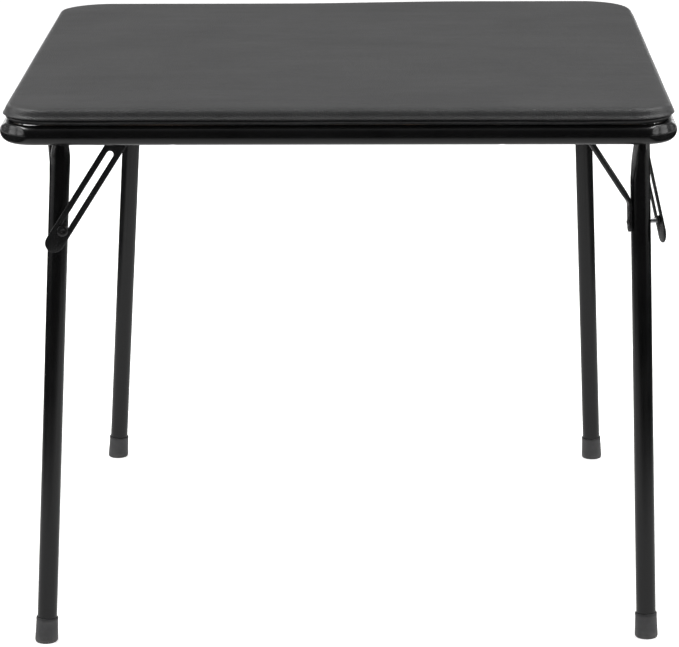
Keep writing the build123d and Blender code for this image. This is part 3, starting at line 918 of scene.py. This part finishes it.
def build_rod(q):
    """Pivot rod with a forged head and a peened end."""
    o, ex, ey, ez = q
    bm = bmesh.new()
    start, end = -FACE_OUT - 1.6 - PLATE_T - 0.4, BRACE_SIDE + 3.2 + PLATE_T + 0.6
    head = [(r, -start + h) for r, h in dome(6.4, 0.0, 2.2)][::-1]
    add_turned(bm, q, -ey, ex, ez, o, head + [(4.0, -start + 0.02), (4.0, -start - 1.0)], 40)
    add_turned(bm, q, ey, ex, ez, o, [(4.0, start + 1.0), (4.0, end)] + dome(6.4, end, 2.4, 1.8, 0.5), 40)
    return bm


def build_stay_rivet(q):
    o, ex, ey, ez = q
    bm = bmesh.new()
    c = o + ex * STAY_REACH
    out = STAY_SIDE + STAY_T / 2 + 0.4
    inn = -STAY_SIDE + STAY_T / 2 + 0.5 + PLATE_T + 0.4
    head = [(r, out + h) for r, h in dome(6.5, 0.0, 2.4, 1.6, 0.5)][::-1]
    add_turned(bm, q, -ey, ex, ez, c, head + [(3.0, out + 0.02), (3.0, out - 2.0)], 36)
    add_turned(bm, q, ey, ex, ez, c, [(3.0, -out + 2.0), (3.0, inn)] + dome(5.5, inn, 2.0), 36)
    return bm


for name, (px, py, turn, lean, side) in CORNERS.items():
    q, lg = frames_of(px, py, turn, lean, side)
    length = PIVOT_Z / (cos(radians(lean)) * cos(radians(side)))
    body = name + "_leg_assembly"
    for piece, bm, mats, body_name, node, slot_name, sharp in (
        ("leg_tube", build_leg(lg, length), [TUBE], body, "leg", "black_tube", 50),
        ("rubber_foot", build_cap(lg, length), [RUBBER], body, "foot_cap", "foot_rubber", 50),
        ("brace_rod", build_brace(lg), [STEEL], body, "side_brace", "black_tube", 50),
        ("cross_stud", build_stud(lg), [STEEL, ZINC], body, "stay_stud", "black_hardware", 35),
        ("stay_strip", build_stay(q, lean), [STEEL], name + "_stay", "slotted_stay", "black_hardware", 35),
        ("hinge_rod", build_rod(q), [STEEL], "tabletop", "pivot_rod", "black_hardware", 35),
        ("stay_hinge_rivet", build_stay_rivet(q), [STEEL], "tabletop", "stay_rivet", "black_hardware", 35),
    ):
        ob = finish_mesh(name + "_" + piece, bm, mats, sharp)
        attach(ob, body_name)
        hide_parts(name + "_" + node)


# ---------------------------------------------------------------------------
# solids that keep their shape: edges eased, and painted
# ---------------------------------------------------------------------------
def dress(node, material, ease=0.0, weld=True):
    ob = nodes[node]
    me = ob.data
    me.materials.clear()
    me.materials.append(material)
    if ease:
        w = ob.modifiers.new("weld", "WELD")
        w.merge_threshold = 0.00001
        v = ob.modifiers.new("ease", "BEVEL")
        v.width = ease * MM
        v.segments = 2
        v.limit_method = "ANGLE"
        v.angle_limit = radians(40)
        v.harden_normals = False


for name in CORNERS:
    dress(name + "_bracket", STEEL, 0.35)
dress("bracket_screws", SCREW, 0.2)
dress("rail_screws", SCREW, 0.25)
dress("cover_staples", STAPLE)
dress("top_board", BOARD)


# ---------------------------------------------------------------------------
# floor and light
# ---------------------------------------------------------------------------
def build_floor():
    bm = bmesh.new()
    n, half = 12, 30.0
    vs = [[bm.verts.new((-half + 2 * half * i / n, -half + 2 * half * j / n, 0)) for j in range(n + 1)] for i in range(n + 1)]
    for i in range(n):
        for j in range(n):
            bm.faces.new((vs[i][j], vs[i + 1][j], vs[i + 1][j + 1], vs[i][j + 1]))
    return bm


fm, fnt, fb, fco = new_material("floor_pale")
fvar = tex_noise(fnt, fco, 1.2, 3.0, 0.5)
fnt.links.new(mix_colour(fnt, fvar, (0.80, 0.80, 0.80), (0.83, 0.83, 0.83)), fb.inputs["Base Color"])
fb.inputs["Roughness"].default_value = 0.9
fb.inputs["Specular IOR Level"].default_value = 0.1
fb.inputs["Emission Color"].default_value = (1, 1, 1, 1)
fb.inputs["Emission Strength"].default_value = 0.62
ground = finish_mesh("floor", build_floor(), [fm])

world = bpy.data.worlds.new("studio")
scene.world = world
world.use_nodes = True
wnt = world.node_tree
wnt.nodes.clear()
w_out = wnt.nodes.new("ShaderNodeOutputWorld")
w_bg = wnt.nodes.new("ShaderNodeBackground")
w_co = wnt.nodes.new("ShaderNodeTexCoord")
w_sep = wnt.nodes.new("ShaderNodeSeparateXYZ")
w_ramp = wnt.nodes.new("ShaderNodeValToRGB")
wnt.links.new(w_co.outputs["Generated"], w_sep.inputs[0])
wnt.links.new(w_sep.outputs["Z"], w_ramp.inputs[0])
els = w_ramp.color_ramp.elements
els[0].position, els[0].color = 0.0, (0.33, 0.33, 0.33, 1)
els[1].position, els[1].color = 1.0, (0.62, 0.62, 0.62, 1)
for pos, v in ((0.12, 0.33), (0.30, 0.39), (0.60, 0.54)):
    e = els.new(pos)
    e.color = (v, v, v, 1)
wnt.links.new(w_ramp.outputs[0], w_bg.inputs[0])
w_bg.inputs[1].default_value = 0.86
wnt.links.new(w_bg.outputs[0], w_out.inputs[0])


def area(name, loc, look, size, size_y, power, diffuse=True, glossy=True):
    d = bpy.data.lights.new(name, "AREA")
    d.shape = "RECTANGLE"
    d.size, d.size_y = size, size_y
    d.energy = power
    o = bpy.data.objects.new(name, d)
    scene.collection.objects.link(o)
    o.location = loc
    o.rotation_mode = "QUATERNION"
    o.rotation_quaternion = (Vector(look) - Vector(loc)).to_track_quat("-Z", "Y")
    o.visible_diffuse, o.visible_glossy = diffuse, glossy
    o.visible_camera = False
    return o


area("light_top", (0.0, 0.1, 3.6), (0, 0, 0.6), 3.2, 3.2, 130.0, glossy=False)
area("light_left", (-3.0, -0.4, 1.65), (0, 0, 0.6), 1.6, 1.8, 27.0)
area("light_right", (3.0, -0.4, 1.65), (0, 0, 0.6), 1.6, 1.8, 27.0)
# overhead strips that glint on the bends, and low ones behind that light the
# rolled side edges
area("strip_left", (-1.9, 0.0, 3.3), (-1.9, 0.0, 0.0), 1.1, 1.2, 62.0, diffuse=False)
area("strip_right", (1.9, 0.0, 3.3), (1.9, 0.0, 0.0), 1.1, 1.2, 62.0, diffuse=False)
area("rim_left", (-2.6, 6.0, 1.3), (-0.4, 0.0, 0.7), 1.3, 1.3, 13.0, diffuse=False)
area("rim_right", (2.6, 6.0, 1.3), (0.4, 0.0, 0.7), 1.3, 1.3, 13.0, diffuse=False)


def make_sheet_mesh():
    bm = bmesh.new()
    xs = [-12.0, -9.0, -6.5] + [-4.4 + 8.8 * i / 16 for i in range(17)] + [6.5, 9.0, 12.0]
    ys = [-14.0, -11.0, -8.0, -6.0] + [-4.3 + 8.6 * j / 16 for j in range(17)]
    vs = {}
    for i in range(len(xs) - 1):
        for j in range(len(ys) - 1):
            if abs(xs[i] + xs[i + 1]) > 8.8 and ys[j] > -4.4:
                continue
            ring_ = []
            for u, v in ((i, j), (i + 1, j), (i + 1, j + 1), (i, j + 1)):
                if (u, v) not in vs:
                    vs[u, v] = bm.verts.new((xs[u], ys[v], 0.03))
                ring_.append(vs[u, v])
            bm.faces.new(ring_)
    return bm


# painted reflection: a sheet just over the floor, seen only in the enamel, that glows in place of
# the lit patch of floor round the table and is dark all round it
cm, cnt, cb, cco = new_material("painted_floor_reflection")
csep = cnt.nodes.new("ShaderNodeSeparateXYZ")
cnt.links.new(cco, csep.inputs[0])
cb.inputs["Base Color"].default_value = (0.0, 0.0, 0.0, 1.0)
cb.inputs["Specular IOR Level"].default_value = 0.0
cb.inputs["Emission Color"].default_value = (1, 1, 1, 1)
sideways = math(cnt, "ABSOLUTE", csep.outputs["X"])
lit = math(cnt, "MULTIPLY", remap(cnt, sideways, 1.0, 1.6, 1.0, 0.0), remap(cnt, csep.outputs["Y"], -1.9, -0.9, 0.0, 1.0))
lit = math(cnt, "MULTIPLY", lit, remap(cnt, csep.outputs["Y"], 0.8, 1.8, 1.0, 0.1))
# painted reflection: this glow stands in for the lit floor as the enamel mirrors it
cnt.links.new(remap(cnt, lit, 0.0, 1.0, 0.015, 0.85), cb.inputs["Emission Strength"])
glossy_only_sheet = finish_mesh("floor_reflection_sheet", make_sheet_mesh(), [cm])
glossy_only_sheet.visible_camera = glossy_only_sheet.visible_diffuse = glossy_only_sheet.visible_shadow = False
glossy_only_sheet.visible_transmission = glossy_only_sheet.visible_volume_scatter = False


# painted reflection: a glowing shell all round the front of the studio, seen only in the enamel,
# dark in front; it brightens evenly to the plain wall at the sides
def make_shell_mesh():
    bm = bmesh.new()
    cols, lines = 48, 20
    vs = []
    for i in range(cols + 1):
        a = radians(-94 + 188 * i / cols)
        vs.append([
            bm.verts.new((
                SHELL_RADIUS * sin(a) * cos(radians(-1.5 + 89.5 * j / lines)),
                -SHELL_RADIUS * cos(a) * cos(radians(-1.5 + 89.5 * j / lines)),
                SHELL_RADIUS * sin(radians(-1.5 + 89.5 * j / lines)),
            ))
            for j in range(lines + 1)
        ])
    for i in range(cols):
        for j in range(lines):
            bm.faces.new((vs[i][j], vs[i][j + 1], vs[i + 1][j + 1], vs[i + 1][j]))
    return bm


SHELL_RADIUS = 15.0
# painted reflection: glossy-only glow, dark in front, brighter towards the sides and up
dm, dnt, db, dco = new_material("painted_reflection_shell")
dsep = dnt.nodes.new("ShaderNodeSeparateXYZ")
dnt.links.new(dco, dsep.inputs[0])
db.inputs["Base Color"].default_value = (0.0, 0.0, 0.0, 1.0)
db.inputs["Specular IOR Level"].default_value = 0.0
d_ramp = dnt.nodes.new("ShaderNodeValToRGB")
els = d_ramp.color_ramp.elements
els[0].position, els[0].color = 0.0, (0.33, 0.33, 0.33, 1)
els[1].position, els[1].color = 1.0, (0.62, 0.62, 0.62, 1)
for pos, v in ((0.12, 0.33), (0.30, 0.39), (0.60, 0.54)):
    e = els.new(pos)
    e.color = (v, v, v, 1)
dnt.links.new(remap(dnt, dsep.outputs["Z"], 0.0, SHELL_RADIUS, 0.0, 1.0), d_ramp.inputs[0])
dnt.links.new(d_ramp.outputs[0], db.inputs["Emission Color"])
dnt.links.new(
    remap(dnt, dsep.outputs["Y"], -0.60 * SHELL_RADIUS, 0.05 * SHELL_RADIUS, 0.03, 0.86), db.inputs["Emission Strength"]
)
glossy_only_shell = finish_mesh("painted_reflection_shell", make_shell_mesh(), [dm])
glossy_only_shell.visible_camera = glossy_only_shell.visible_diffuse = glossy_only_shell.visible_shadow = False
glossy_only_shell.visible_transmission = glossy_only_shell.visible_volume_scatter = False

scene.view_settings.view_transform = "Standard"
scene.view_settings.look = "None"
scene.view_settings.exposure = 0.0
scene.view_settings.gamma = 1.0
